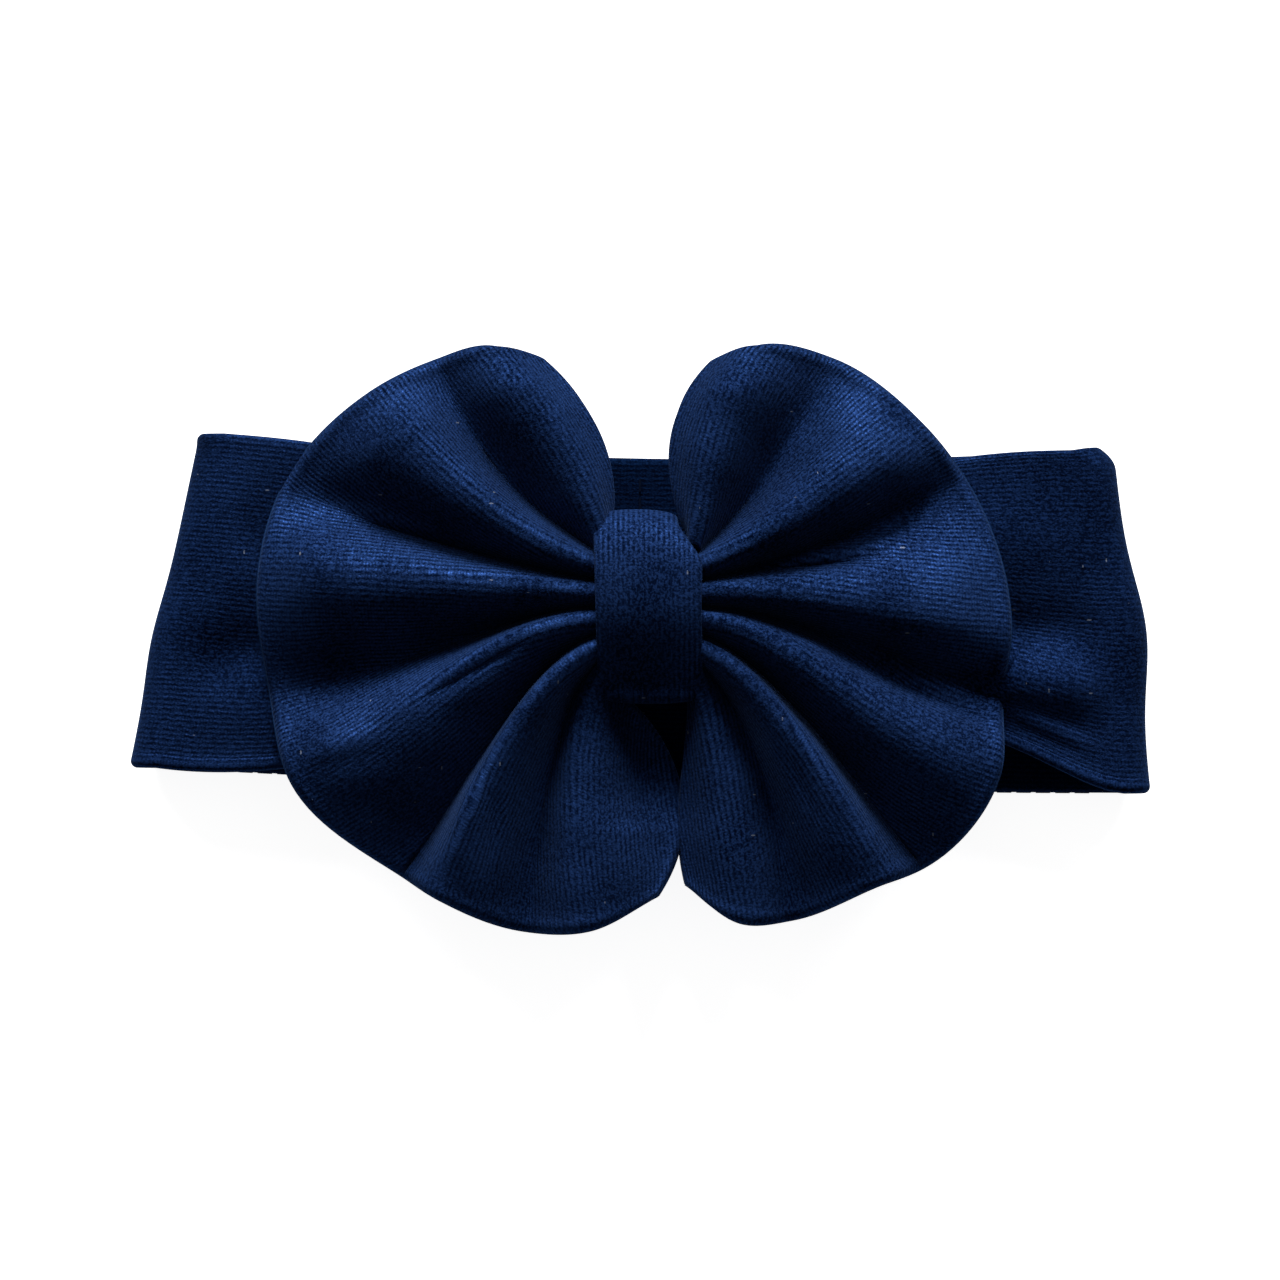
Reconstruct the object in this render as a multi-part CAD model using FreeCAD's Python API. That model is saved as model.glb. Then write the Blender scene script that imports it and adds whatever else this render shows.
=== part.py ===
import FreeCAD, Part

import os
from math import hypot

# A knotted headband of stretch velvet, laid flat: a tube of cloth sewn into a loop, a wide bow
# pleated at its middle, and a narrow strip wrapped round both as the knot.
# Millimetres. +Z is up off the table, the loop runs along X, and the head goes through it along Y.
# The origin is on the table, under the middle of the whole footprint.

PLY = 1.2                    # one layer of pile cloth
TUBE = 2 * PLY               # the band and the bow are tubes pressed flat, so two layers
CLEAR = 0.3                  # air between pieces that move apart
TOUCH = 0.1                  # air between the pieces bundled inside the knot
THREAD = 0.2                 # sewing thread, radius
STITCH = 2.2                 # the part of a stitch that shows
STITCH_PITCH = 3.4
SEAM_GAP = 0.05              # air between a seam's thread and the cloth's edge
JOIN_INSET = 1.5             # the joining seam stops short of the band's edges

# The band: its two end folds, as the line that each turns about, from the far edge to the near one.
LEFT_TURN = ((-74.0, 35.8), (-86.6, -22.7))
RIGHT_TURN = ((80.0, 34.0), (86.6, -27.5))
TURN_RADIUS = 5.0            # outside of an end fold
BACK_TOP_EDGE = ((-35.0, 33.0), (0.0, 31.9), (40.0, 32.3))
BACK_LOW_EDGE = ((40.0, -27.2), (0.0, -26.4), (-40.0, -25.0))
TURN_TOP = 2 * TURN_RADIUS

# The knot: a strip wrapped round the gathered band and the gathered bow.
KNOT_X = (-8.3, 11.2)
KNOT_Y = (-10.8, 22.7)
KNOT_Z = (7.8, 25.2)
KNOT_STRIP = 2.2
KNOT_CORNER = 5.0
KNOT_MIDDLE = sum(KNOT_X) / 2
GATHER_INSET = 0.1           # the bundled cloth stops just short of the knot's sides
BAND_GATHER_TOP = 14.5
BOW_GATHER_BOTTOM = 14.9     # lowest turn of the thread wound round the gathered bow
THREAD_TURNS = 5
TACKS = 4                    # on each side of the knot

# The bow: every pleat line runs from the neck, beside the knot, to the rim.
NECK_GAP = 0.3               # from the knot's side to the neck
NECK_Y = (20.0, -8.0)        # the neck's far and near ends
NECK_HEIGHT = {"crest": 21.6, "valley": 15.6, "edge": 17.0}
ROWS = 6                     # steps along a pleat line
FLEX_INSET = 1.7             # the wings bend at this distance from the knot's sides
SMALLEST_PIECE = 5.0         # cubic millimetres: shavings left by a cut are dropped

# One row a pleat line: its kind, the two points that pull it, its end at the rim (x, y), and
# its height along the belly and at the rim.
LEFT_PLEATS = (
    ("edge", (-1.4, 29.2), (-7.4, 42.3), (-17.1, 50.0), 15.5, 13.0),
    ("crest", (-8.6, 30.6), (-17.1, 42.3), (-29.2, 52.4), 20.5, 16.5),
    ("valley", (-17.1, 23.0), (-26.6, 32.0), (-37.4, 49.7), 15.0, 13.5),
    ("crest", (-18.9, 18.9), (-31.5, 30.2), (-51.8, 42.1), 22.0, 17.0),
    ("valley", (-25.2, 14.4), (-43.2, 21.6), (-62.6, 32.0), 14.8, 13.2),
    ("crest", (-25.2, 10.8), (-46.8, 11.2), (-67.9, 15.1), 21.0, 16.5),
    ("valley", (-21.6, 5.0), (-37.8, -5.0), (-66.2, -9.0), 14.6, 13.0),
    ("crest", (-28.8, 3.2), (-37.8, -14.4), (-61.9, -25.6), 22.0, 17.0),
    ("valley", (-21.6, -3.2), (-32.4, -25.2), (-48.2, -39.2), 14.8, 13.0),
    ("crest", (-17.1, -4.4), (-27.0, -18.9), (-35.6, -46.3), 21.5, 17.0),
    ("valley", (-15.3, -7.2), (-16.6, -23.4), (-23.0, -52.4), 15.0, 13.2),
    ("crest", (-12.4, -10.8), (-12.2, -27.0), (-8.6, -52.0), 21.0, 17.5),
    ("edge", (1.2, -12.4), (14.4, -28.8), (2.7, -46.4), 20.0, 18.0),
)
RIGHT_PLEATS = (
    ("edge", (2.2, 28.4), (4.0, 42.3), (13.0, 49.3), 15.5, 13.0),
    ("crest", (12.2, 28.8), (13.0, 43.2), (22.0, 52.4), 20.5, 16.5),
    ("valley", (17.1, 22.5), (23.4, 33.3), (32.0, 51.5), 15.0, 13.5),
    ("crest", (24.3, 18.0), (36.0, 27.9), (50.8, 38.5), 22.0, 17.0),
    ("valley", (27.0, 14.4), (41.4, 19.8), (58.5, 28.8), 14.8, 13.2),
    ("crest", (25.2, 10.4), (43.2, 8.3), (66.1, 6.1), 21.0, 16.5),
    ("valley", (27.0, 6.1), (45.0, -5.0), (64.8, -10.4), 14.6, 13.0),
    ("crest", (27.0, 3.2), (39.6, -17.1), (65.2, -19.8), 22.0, 17.0),
    ("valley", (25.2, -4.4), (37.8, -21.6), (58.0, -34.2), 14.8, 13.0),
    ("crest", (21.6, -5.2), (28.8, -18.0), (47.2, -41.6), 21.5, 17.0),
    ("valley", (21.0, -10.2), (27.4, -30.6), (29.7, -48.6), 14.8, 12.8),
    ("crest", (17.6, -12.4), (22.5, -28.8), (23.0, -50.4), 19.5, 15.5),
    ("edge", (9.6, -16.2), (4.3, -28.8), (7.9, -43.6), 14.2, 11.8),
)

# The front of the band, gathered from its full width at each end fold to the knot.
# One row a cross line: how far it is from the knot to the fold (0 to 1), then how much of the
# way from gathered to full width its far and near edges have opened.
FRONT_LINES = ((0.0, 0.0, 0.0), (0.3, 0.5, 0.3), (0.7, 0.85, 0.45), (1.0, 1.0, 1.0))
FRONT_COLUMNS = 4
FRONT_AT_KNOT = 12.4         # the height of the middle of the cloth beside the knot
FRONT_NEAR_Y = -8.4
FRONT_FAR_Y = 20.2


def save(name, shape):
    shape.exportStep(f"parts/{name}.step")


def vector(point):
    return FreeCAD.Vector(*point)


def blend(a, b, t):
    return tuple(p + (q - p) * t for p, q in zip(a, b))


def triangle(a, b, c):
    return Part.Face(Part.makePolygon([vector(a), vector(b), vector(c), vector(a)]))


def cloth(grid, low, high):
    """A closed layer of cloth over a grid of points, from low to high above them.

    Each cell's two facets meet on the diagonal that leans to the middle line, because the outer
    cells of a wing bend sharply at the neck.
    """
    rows, columns = len(grid), len(grid[0])
    top = [[(x, y, z + high) for x, y, z in line] for line in grid]
    under = [[(x, y, z + low) for x, y, z in line] for line in grid]
    faces = []
    for layer in (top, under):
        for i in range(rows - 1):
            for j in range(columns - 1):
                a, b = layer[i][j], layer[i][j + 1]
                c, d = layer[i + 1][j + 1], layer[i + 1][j]
                if i < (rows - 1) / 2:
                    faces += [triangle(a, b, c), triangle(a, c, d)]
                else:
                    faces += [triangle(a, b, d), triangle(b, c, d)]
    border = [(0, j) for j in range(columns)]
    border += [(i, columns - 1) for i in range(1, rows)]
    border += [(rows - 1, j) for j in range(columns - 2, -1, -1)]
    border += [(i, 0) for i in range(rows - 2, 0, -1)]
    for (i, j), (k, m) in zip(border, border[1:] + border[:1]):
        faces += [triangle(top[i][j], top[k][m], under[k][m])]
        faces += [triangle(top[i][j], under[k][m], under[i][j])]
    solid = Part.Solid(Part.Shell(faces))
    if solid.Volume < 0:
        solid.reverse()
    return solid


def cloth_pair(grid):
    """The two layers of a flat tube, the front one above the grid and the back one below it."""
    return cloth(grid, 0.0, PLY), cloth(grid, -PLY, 0.0)


def flat_piece(outline, bottom, top):
    corners = [vector((x, y, bottom)) for x, y in outline]
    face = Part.Face(Part.makePolygon(corners + corners[:1]))
    return face.extrude(vector((0, 0, top - bottom)))


def between(x, y, z):
    return Part.makeBox(x[1] - x[0], y[1] - y[0], z[1] - z[0], vector((x[0], y[0], z[0])))


def shrink(span, by):
    return (span[0] + by, span[1] - by)


def bar(x, y, z, corner):
    """A bar along X with its long edges rounded."""
    solid = between(x, y, z)
    long_edges = [e for e in solid.Edges if abs(e.tangentAt(e.FirstParameter).x) > 0.9]
    return solid.makeFillet(corner, long_edges)


def thread(start, end):
    run = vector(end) - vector(start)
    return Part.makeCylinder(THREAD, run.Length, vector(start), run)


def stitches_along(line, outward, height, gap):
    """Short threads lying beside a run of points, gap away from it on its outward side."""
    threads = []
    for start, end in zip(line, line[1:]):
        run = hypot(end[0] - start[0], end[1] - start[1])
        nx, ny = outward * (end[1] - start[1]) / run, -outward * (end[0] - start[0]) / run
        for k in range(int(run // STITCH_PITCH)):
            first = (k + 0.5) * STITCH_PITCH - STITCH / 2
            ends = [blend(start, end, along / run) for along in (first, first + STITCH)]
            places = [(x + nx * gap, y + ny * gap, z + height) for x, y, z in ends]
            threads.append(thread(*places))
    return Part.makeCompound(threads)


def end_fold(turn, side, inner, outer):
    """One layer of the band where it turns back on itself, as a sheared half ring."""
    (x, y), (x_end, y_end) = turn
    arcs = []
    for radius in (inner, outer):
        low = vector((x, y, TURN_RADIUS - radius))
        middle = vector((x + side * radius, y, TURN_RADIUS))
        high = vector((x, y, TURN_RADIUS + radius))
        arcs.append((low, middle, high))
    (a, b, c), (d, e, f) = arcs
    edges = [Part.Arc(a, b, c).toShape(), Part.makeLine(c, f),
             Part.Arc(f, e, d).toShape(), Part.makeLine(d, a)]
    return Part.Face(Part.Wire(edges)).extrude(vector((x_end - x, y_end - y, 0)))


def front_grid(turn, side, knot_x):
    """The middle surface of the band's front, from beside the knot out to an end fold."""
    far_fold, near_fold = ((x - side * CLEAR, y) for x, y in turn)
    grid = []
    for out, far_open, near_open in FRONT_LINES:
        far_y = FRONT_FAR_Y + (far_fold[1] - FRONT_FAR_Y) * far_open
        near_y = FRONT_NEAR_Y + (near_fold[1] - FRONT_NEAR_Y) * near_open
        far_x = knot_x + (far_fold[0] - knot_x) * out
        near_x = knot_x + (near_fold[0] - knot_x) * out
        height = FRONT_AT_KNOT + (TURN_TOP - PLY - FRONT_AT_KNOT) * out
        ends = (far_x, far_y, height), (near_x, near_y, height)
        grid.append([blend(*ends, j / FRONT_COLUMNS) for j in range(FRONT_COLUMNS + 1)])
    return grid


def pleat_line(row, index, count, neck_x):
    """Points along one pleat, a cubic curve from the neck to the rim."""
    kind, pull_1, pull_2, rim, belly, rim_height = row
    neck_y = NECK_Y[0] + (NECK_Y[1] - NECK_Y[0]) * index / (count - 1)
    controls = ((neck_x, neck_y, NECK_HEIGHT[kind]), (*pull_1, belly), (*pull_2, belly),
                (*rim, rim_height))
    line = []
    for step in range(ROWS + 1):
        points = controls
        while len(points) > 1:
            points = [blend(a, b, step / ROWS) for a, b in zip(points, points[1:])]
        line.append(points[0])
    return line


def wing_grid(pleats, neck_x):
    return [pleat_line(row, i, len(pleats), neck_x) for i, row in enumerate(pleats)]


def whole_pieces(shape):
    solids = [s for s in shape.Solids if s.Volume > SMALLEST_PIECE]
    return solids[0] if len(solids) == 1 else Part.makeCompound(solids)


def make_band_back():
    far, near = zip(LEFT_TURN, RIGHT_TURN)
    outline = (far[0], *BACK_TOP_EDGE, far[1], near[1], *BACK_LOW_EDGE, near[0])
    save("band_back_outer", flat_piece(outline, 0, PLY))
    save("band_back_inner", flat_piece(outline, PLY, TUBE))
    for name, turn, side in (("left", LEFT_TURN, -1), ("right", RIGHT_TURN, 1)):
        save(f"end_fold_{name}_outer", end_fold(turn, side, TURN_RADIUS - PLY, TURN_RADIUS))
        save(f"end_fold_{name}_inner", end_fold(turn, side, TURN_RADIUS - TUBE, TURN_RADIUS - PLY))
    low_edge = [(x, y, PLY) for x, y in (near[1], *BACK_LOW_EDGE, near[0])]
    save("band_long_seam_thread", stitches_along(low_edge, -1, 0, THREAD + SEAM_GAP))
    join = [(x, y + inward, TUBE) for (x, y), inward in ((BACK_LOW_EDGE[1], JOIN_INSET),
                                                         (BACK_TOP_EDGE[1], -JOIN_INSET))]
    save("band_join_thread", stitches_along(join, 1, THREAD, 0))


def make_band_front():
    for name, turn, side, knot_x in (("left", LEFT_TURN, -1, KNOT_X[0] - NECK_GAP),
                                     ("right", RIGHT_TURN, 1, KNOT_X[1] + NECK_GAP)):
        outer, inner = cloth_pair(front_grid(turn, side, knot_x))
        save(f"band_front_{name}_outer", outer)
        save(f"band_front_{name}_inner", inner)


def make_knot():
    ring = bar(KNOT_X, KNOT_Y, KNOT_Z, KNOT_CORNER)
    hollow = bar(KNOT_X, shrink(KNOT_Y, KNOT_STRIP), shrink(KNOT_Z, KNOT_STRIP),
                 KNOT_CORNER - KNOT_STRIP)
    ring = ring.cut(hollow)
    seam_height = KNOT_Z[0] + KNOT_STRIP
    under_zone = between(KNOT_X, KNOT_Y, (KNOT_Z[0], seam_height))
    save("knot_wrap_over", ring.cut(under_zone))
    save("knot_wrap_under", ring.common(under_zone))

    bundle_x = shrink(KNOT_X, GATHER_INSET)
    bundle = bar(bundle_x, shrink(KNOT_Y, KNOT_STRIP + TOUCH), shrink(KNOT_Z, KNOT_STRIP + TOUCH),
                 KNOT_CORNER - KNOT_STRIP)
    save("band_gather", bundle.common(between(bundle_x, KNOT_Y, (KNOT_Z[0], BAND_GATHER_TOP))))

    wound = 2 * THREAD
    bow_y = shrink(KNOT_Y, KNOT_STRIP + TOUCH + wound)
    bow_z = (BOW_GATHER_BOTTOM + wound, KNOT_Z[1] - KNOT_STRIP - TOUCH - wound)
    save("bow_gather", bar(bundle_x, bow_y, bow_z, KNOT_CORNER - KNOT_STRIP))
    turns = []
    for k in range(THREAD_TURNS):
        x = KNOT_MIDDLE + (k - (THREAD_TURNS - 1) / 2) * 3 * THREAD
        turn_x = (x - THREAD, x + THREAD)
        outside = bar(turn_x, shrink(bow_y, -wound), shrink(bow_z, -wound), KNOT_CORNER - KNOT_STRIP)
        inside = bar(turn_x, bow_y, bow_z, KNOT_CORNER - KNOT_STRIP)
        turns.append(outside.cut(inside))
    save("bow_gather_thread", Part.makeCompound(turns))

    under = [(KNOT_MIDDLE, y, KNOT_Z[0]) for y in shrink(KNOT_Y, KNOT_CORNER + 1)]
    save("knot_closing_thread", stitches_along(under, 1, -THREAD, 0))
    tacks = []
    for x in (bundle_x[0] - THREAD, bundle_x[1] + THREAD):
        for k in range(TACKS):
            y = FRONT_NEAR_Y + (FRONT_FAR_Y - FRONT_NEAR_Y) * (k + 1) / (TACKS + 1)
            tacks.append(thread((x, y, BAND_GATHER_TOP - STITCH), (x, y, BOW_GATHER_BOTTOM + STITCH)))
    save("bow_tack_thread", Part.makeCompound(tacks))


def make_wing(name, pleats, side, knot_side):
    """A wing of the bow. The root beside the knot keeps still and the rest bends up from it."""
    grid = wing_grid(pleats, knot_side + side * NECK_GAP)
    flex_x = knot_side + side * FLEX_INSET
    knot_zone = between(shrink(KNOT_X, -TOUCH), shrink(KNOT_Y, -TOUCH), (0, 2 * KNOT_Z[1]))
    far = 200.0
    root_x = sorted((flex_x - side * CLEAR / 2, -side * far))
    wing_x = sorted((flex_x + side * CLEAR / 2, side * far))
    for layer, ply in zip(("front", "back"), cloth_pair(grid)):
        root = ply.common(between(root_x, (-far, far), (0, far))).cut(knot_zone)
        save(f"{name}_wing_root_{layer}", whole_pieces(root))
        save(f"{name}_wing_{layer}", whole_pieces(ply.common(between(wing_x, (-far, far), (0, far)))))
    rim = [line[-1] for line in grid if line[-1][0] * side > abs(flex_x) + 2]
    save(f"{name}_wing_rim_thread", stitches_along(rim, -side, 0, THREAD + SEAM_GAP))


os.makedirs("parts", exist_ok=True)
make_band_back()
make_band_front()
make_knot()
make_wing("left", LEFT_PLEATS, -1, KNOT_X[0])
make_wing("right", RIGHT_PLEATS, 1, KNOT_X[1])
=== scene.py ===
import math

import bmesh
import bpy
import numpy as np
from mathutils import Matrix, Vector


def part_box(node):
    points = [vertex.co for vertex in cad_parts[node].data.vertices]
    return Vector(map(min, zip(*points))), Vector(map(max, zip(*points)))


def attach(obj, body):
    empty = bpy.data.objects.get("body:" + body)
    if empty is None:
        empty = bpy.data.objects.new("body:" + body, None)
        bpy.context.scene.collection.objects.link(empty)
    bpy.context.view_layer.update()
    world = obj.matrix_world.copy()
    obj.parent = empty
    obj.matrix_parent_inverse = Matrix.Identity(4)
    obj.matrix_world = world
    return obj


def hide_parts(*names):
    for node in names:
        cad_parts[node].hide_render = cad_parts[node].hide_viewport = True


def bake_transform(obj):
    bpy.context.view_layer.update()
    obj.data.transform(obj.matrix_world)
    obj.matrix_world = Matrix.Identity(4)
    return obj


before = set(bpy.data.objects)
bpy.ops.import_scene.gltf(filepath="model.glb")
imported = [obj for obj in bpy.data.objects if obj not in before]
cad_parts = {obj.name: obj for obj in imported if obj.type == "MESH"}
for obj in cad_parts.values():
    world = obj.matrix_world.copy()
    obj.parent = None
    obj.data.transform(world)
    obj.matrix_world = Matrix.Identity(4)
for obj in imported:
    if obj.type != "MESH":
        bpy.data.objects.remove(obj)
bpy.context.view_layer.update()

# A headband of navy ribbed velvet with a pleated bow and a wrapped knot, lying flat and seen from
# straight above. Each piece is a closed mesh of two layers of cloth, shaped from a grid of points.
# Everything is in metres in the CAD's frame: +Z up off the table, the loop along X.

# ---------------------------------------------------------------- driving dimensions

RIB_PITCH = 0.00090           # one rib of the velvet to the next
COURSE_PITCH = 0.00058        # one row of loops to the next, along a rib
TUBE = 0.0024                 # two layers of velvet, pressed flat
HALF = TUBE / 2
EDGE_ROLL = 0.0013            # how far in from an edge the cloth rounds over
SEAM_THREAD = 0.00012         # radius of the long seam's thread
RIM_THREAD = 0.00016          # radius of the thread in a wing's rim
KNOT_THREAD = 0.0002          # radius of the threads in and under the knot


def whole_box(*nodes):
    """The lowest and highest corners of several nodes together."""
    boxes = [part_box(node) for node in nodes]
    lowest = Vector([min(low[k] for low, _ in boxes) for k in range(3)])
    highest = Vector([max(high[k] for _, high in boxes) for k in range(3)])
    return lowest, highest


# The knot.
KNOT_LOW, KNOT_HIGH = whole_box("knot_wrap_over", "knot_wrap_under")
KNOT_MIDDLE = (KNOT_LOW + KNOT_HIGH) / 2
KNOT_STRIP = 0.0022           # thickness of the wrapped strip
KNOT_CROWN = 0.0006           # how far its middle bulges
KNOT_TURNS = 160              # points once round it
KNOT_AROUND = 64              # points round the strip's own section
KNOT_POWER = 2.2              # 2 would be an ellipse, and more is squarer
KNOT_CREST, KNOT_RUN, KNOT_FALL = 0.0070, 0.0160, 0.0036   # its top falls: from here, over, by
KNOT_SLANT = 0.0045           # how far its right side comes in at the far end
SLANT_FROM = 0.45             # where that begins, as a share of the way from its middle to that end
KNOT_LEFT_SLANT = 0.0004      # how far its left side comes in at its middle
KNOT_WAIST = 0.0003           # how far its right side does
STRIP_SIDES, STRIP_FACES = 0.55, 0.80    # powers for the strip's section: less is squarer
WOUND_STEP, WOUND_MIDDLE, WOUND_HALF = 0.0012, 0.0150, 0.0035   # the thread wound inside it
STITCHED = 0.0100             # half the length of the closing stitches under it

# Where the bow and the band go into the knot.
NECK_SUNK = 0.0016            # the bow's neck starts this far inside the knot's sides
NECK_FAR, NECK_NEAR = 0.0195, -0.0076
NECK_TOP = 0.0080             # where the neck's arched top is highest
NECK_ARCH = 0.0158            # half the width that the arch spans
NECK_HEIGHT = {"crest": (0.0152, 0.0062), "valley": (0.0132, 0.0032), "edge": (0.0150, 0.0)}
BAND_SUNK = 0.0020            # the band's front ends this far inside the knot's sides
BAND_NECK_FAR, BAND_NECK_NEAR, BAND_NECK_HEIGHT = 0.0200, -0.0082, 0.0124
BUNDLE_SQUEEZE = 0.45         # how far the knot flattens the gathered cloth inside it
BUNDLE_ROWS = 24              # points along that cloth
BUNDLE_OVERLAP = 0.04         # the share of its length that goes on into the piece at each end

# The band.
BAND_WIDTH = 0.061
BAND_COLUMNS = 90             # points across the band
HEM_HEIGHT, HEM_WIDTH = 0.0003, 0.0008   # the slight roll along the front's near edge
FRONT_ROWS, FOLD_ROWS, BACK_ROWS = 90, 28, 120

# The end folds: the line that each turns about, from the far edge to the near one.
LEFT_TURN = ((-0.0740, 0.0370), (-0.0866, -0.0229))
RIGHT_TURN = ((0.0800, 0.0340), (0.0866, -0.0275))
TURN_RADIUS = 0.0050
BACK_FAR_PULLS = ((-0.0300, 0.0322), (0.0300, 0.0312))
BACK_NEAR_PULLS = ((-0.0300, -0.0262), (0.0300, -0.0272))

# The front's halves: the points that pull the far edge, and then the near one, on their way to the knot.
LEFT_FRONT_PULLS = (((-0.0560, 0.0356), (-0.0380, 0.0330)), ((-0.0700, -0.0252), (-0.0480, -0.0230)))
RIGHT_FRONT_PULLS = (((0.0620, 0.0338), (0.0400, 0.0320)), ((0.0740, -0.0262), (0.0660, -0.0110)))

# How an end fold stands out of its straight line: how far, about where and how widely, as shares of
# the band's width, and how far its far corner is drawn in.
LEFT_SWELL = (0.0009, 0.62, 0.16, -0.0005)
RIGHT_SWELL = (0.0024, 0.53, 0.20, 0.0030)
CORNER_REACH = 0.06           # the share of the band's width that a fold's far corner takes up
SWELL_REACH = 0.50            # the share of the front over which a fold's swell fades
RIDGE_REACH = 0.22            # the share of the front over which its ridges begin

# One row a pleat line of the bow, running from the neck to the rim: its kind, the two points that
# pull it, its end at the rim, and its height along the belly and at the rim. Where the belly has two
# heights, the first is by the knot and the second farther out.
LEFT_PLEATS = (
    ("edge", (-0.0014, 0.0292), (-0.0078, 0.0423), (-0.0174, 0.0498), 0.0150, 0.0120),
    ("crest", (-0.0100, 0.0298), (-0.0188, 0.0412), (-0.0275, 0.0524), 0.0221, 0.0195),
    ("valley", (-0.0185, 0.0215), (-0.0285, 0.0298), (-0.0365, 0.0500), 0.0138, 0.0123),
    ("crest", (-0.0198, 0.0170), (-0.0338, 0.0262), (-0.0480, 0.0442), 0.0236, 0.0200),
    ("valley", (-0.0252, 0.0144), (-0.0435, 0.0198), (-0.0638, 0.0275), 0.0134, 0.0120),
    ("crest", (-0.0252, 0.0100), (-0.0468, 0.0110), (-0.0680, 0.0120), 0.0230, 0.0195),
    ("valley", (-0.0216, 0.0050), (-0.0378, -0.0050), (-0.0662, -0.0090), 0.0136, 0.0118),
    ("crest", (-0.0288, 0.0032), (-0.0378, -0.0144), (-0.0619, -0.0256), 0.0236, 0.0200),
    ("valley", (-0.0200, -0.0052), (-0.0295, -0.0262), (-0.0425, -0.0422), 0.0136, 0.0118),
    ("crest", (-0.0171, -0.0044), (-0.0270, -0.0189), (-0.0356, -0.0463), 0.0231, 0.0200),
    ("valley", (-0.0138, -0.0084), (-0.0172, -0.0250), (-0.0205, -0.0520), (0.0136, 0.0130), 0.0120),
    ("crest", (-0.0118, -0.0115), (-0.0122, -0.0275), (-0.0092, -0.0518), (0.0160, 0.0178), 0.0188),
    ("edge", (0.0020, -0.0117), (0.0150, -0.0288), (0.0034, -0.0456), (0.0075, 0.0085), 0.0135),
)
RIGHT_PLEATS = (
    ("edge", (0.0022, 0.0284), (0.0042, 0.0421), (0.0130, 0.0492), 0.0150, 0.0120),
    ("crest", (0.0122, 0.0288), (0.0130, 0.0432), (0.0220, 0.0526), 0.0221, 0.0195),
    ("valley", (0.0180, 0.0216), (0.0254, 0.0316), (0.0345, 0.0502), 0.0138, 0.0123),
    ("crest", (0.0243, 0.0180), (0.0360, 0.0279), (0.0505, 0.0383), 0.0236, 0.0200),
    ("valley", (0.0270, 0.0144), (0.0414, 0.0198), (0.0582, 0.0286), 0.0138, 0.0120),
    ("crest", (0.0252, 0.0096), (0.0432, 0.0054), (0.0661, 0.0034), 0.0230, 0.0195),
    ("valley", (0.0270, 0.0061), (0.0450, -0.0050), (0.0648, -0.0104), 0.0136, 0.0118),
    ("crest", (0.0270, 0.0032), (0.0396, -0.0171), (0.0640, -0.0240), 0.0236, 0.0200),
    ("valley", (0.0238, -0.0048), (0.0352, -0.0225), (0.0505, -0.0408), 0.0136, 0.0118),
    ("crest", (0.0214, -0.0054), (0.0288, -0.0185), (0.0430, -0.0435), 0.0231, 0.0200),
    ("valley", (0.0196, -0.0105), (0.0250, -0.0306), (0.0272, -0.0500), (0.0134, 0.0130), 0.0116),
    ("crest", (0.0136, -0.0125), (0.0148, -0.0285), (0.0185, -0.0506), (0.0162, 0.0168), 0.0160),
    ("edge", (0.0096, -0.0162), (0.0043, -0.0288), (0.0079, -0.0436), 0.0104, 0.0106),
)

# Smaller ridges on the cloth: start, end, half width and height.
LEFT_RIDGES = (
    ((-0.0120, 0.0128), (-0.0540, 0.0245), 0.0016, 0.0014),
    ((-0.0120, 0.0108), (-0.0500, 0.0205), 0.0011, -0.0013),
    ((-0.0190, 0.0010), (-0.0400, -0.0115), 0.0011, -0.0012),
    ((-0.0210, 0.0035), (-0.0480, -0.0090), 0.0014, 0.0010),
    ((-0.0440, -0.0165), (-0.0620, -0.0210), 0.0014, 0.0008),
    ((-0.0280, -0.0200), (-0.0330, -0.0400), 0.0013, 0.0012),
    ((-0.0260, -0.0260), (-0.0280, -0.0430), 0.0012, -0.0009),
    ((-0.0010, -0.0110), (-0.0005, -0.0340), 0.0050, -0.0030),
)
RIGHT_RIDGES = (
    ((0.0150, 0.0122), (0.0480, 0.0172), 0.0014, 0.0014),
    ((0.0150, 0.0105), (0.0450, 0.0142), 0.0010, -0.0013),
    ((0.0300, 0.0030), (0.0630, -0.0128), 0.0014, 0.0014),
    ((0.0310, -0.0025), (0.0640, -0.0166), 0.0013, -0.0018),
    ((0.0270, -0.0120), (0.0390, -0.0330), 0.0013, 0.0011),
    ((0.0250, -0.0160), (0.0330, -0.0330), 0.0010, -0.0009),
)
LEFT_FRONT_RIDGES = (
    ((-0.1040, -0.0030), (-0.0400, -0.0010), 0.0050, -0.0016),
    ((-0.1000, 0.0120), (-0.0400, 0.0120), 0.0060, 0.0008),
    ((-0.1000, 0.0370), (-0.0300, 0.0330), 0.0130, 0.0026),
    ((-0.1000, -0.0130), (-0.0300, -0.0120), 0.0050, 0.0006),
)
RIGHT_FRONT_RIDGES = (
    ((0.1040, -0.0120), (0.0400, -0.0040), 0.0045, 0.0030),
    ((0.1000, 0.0020), (0.0400, 0.0020), 0.0045, -0.0014),
    ((0.0900, 0.0200), (0.0400, 0.0140), 0.0070, 0.0012),
    ((0.0830, -0.0200), (0.0650, -0.0120), 0.0012, 0.0007),
)


# ---------------------------------------------------------------- mesh helpers

def smooth(t):
    """0 up to 0, 1 from 1 and an even S between."""
    t = np.clip(t, 0.0, 1.0)
    return t * t * (3 - 2 * t)


def bezier(controls, t):
    """The points of a Bezier curve at each t, one a row."""
    points = [np.array(c, float)[None, :] for c in controls]
    t = np.asarray(t, float)[:, None]
    while len(points) > 1:
        points = [a * (1 - t) + b * t for a, b in zip(points, points[1:])]
    return points[0]


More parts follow.
